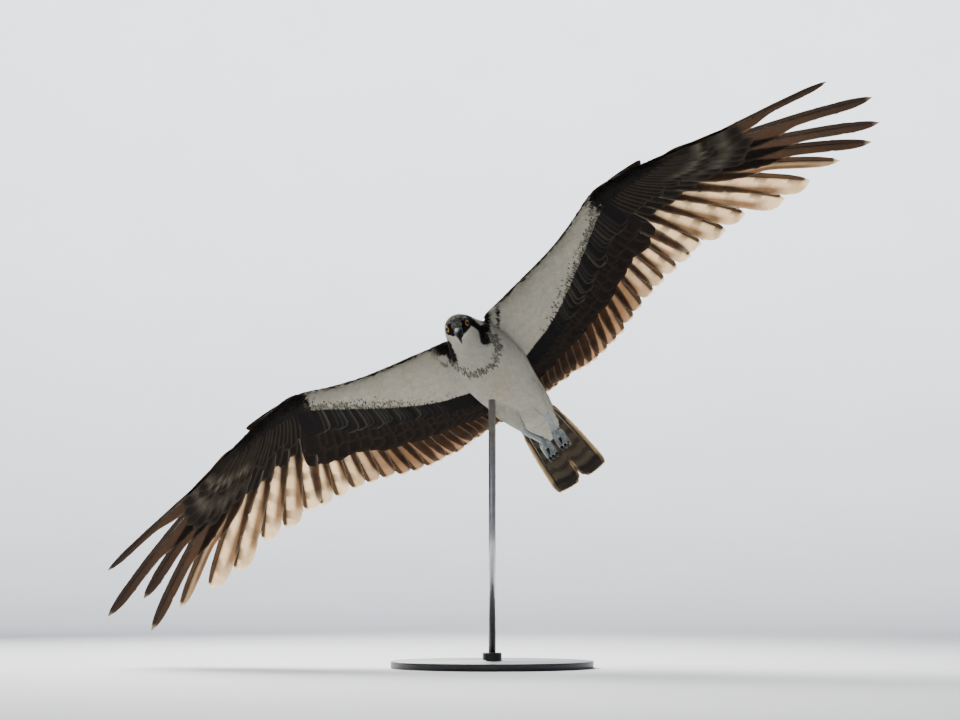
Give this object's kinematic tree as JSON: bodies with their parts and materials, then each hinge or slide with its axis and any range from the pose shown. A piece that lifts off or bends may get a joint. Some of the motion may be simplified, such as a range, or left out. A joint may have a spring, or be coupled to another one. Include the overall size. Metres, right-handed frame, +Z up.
{
  "type": "osprey figure on a display stand",
  "caption": "Life-size osprey in banked gliding flight with spread wings and drawn-up feet, seen from below, on a plain round base with a rod",
  "frame": {"origin": "centre of the stand's bottom face, on the floor", "axes": "X runs to the right across the wings in the front view, Y away from the front view, Z up"},
  "size_m": [1.3068, 0.4571, 0.9771],
  "materials": {
    "white_plumage": "soft plumage",
    "head_plumage": "soft plumage, white with dark brown marks",
    "wing_plumage": "feathers, barred brown and white",
    "tail_plumage": "feathers, barred brown",
    "bill": "satin horn",
    "eye": "glossy",
    "foot_skin": "fine rough scales",
    "claw": "satin horn",
    "base_paint": "satin",
    "rod_steel": "brushed"
  },
  "bodies": {
    "root": {"torso": "white_plumage", "neck": "white_plumage", "head": "head_plumage", "bill_upper": "bill", "bill_lower": "bill", "eye_left": "eye", "eye_right": "eye", "wing_left": "wing_plumage", "wing_right": "wing_plumage", "tail": "tail_plumage", "thigh_left": "white_plumage", "thigh_right": "white_plumage", "shank_left": "foot_skin", "shank_right": "foot_skin", "foot_left": "foot_skin", "foot_right": "foot_skin", "stand_base": "base_paint", "stand_rod": "rod_steel", "claw_left_one": "claw", "claw_left_two": "claw", "claw_left_three": "claw", "claw_left_back": "claw", "claw_right_one": "claw", "claw_right_two": "claw", "claw_right_three": "claw", "claw_right_back": "claw"}
  },
  "joints": []
}
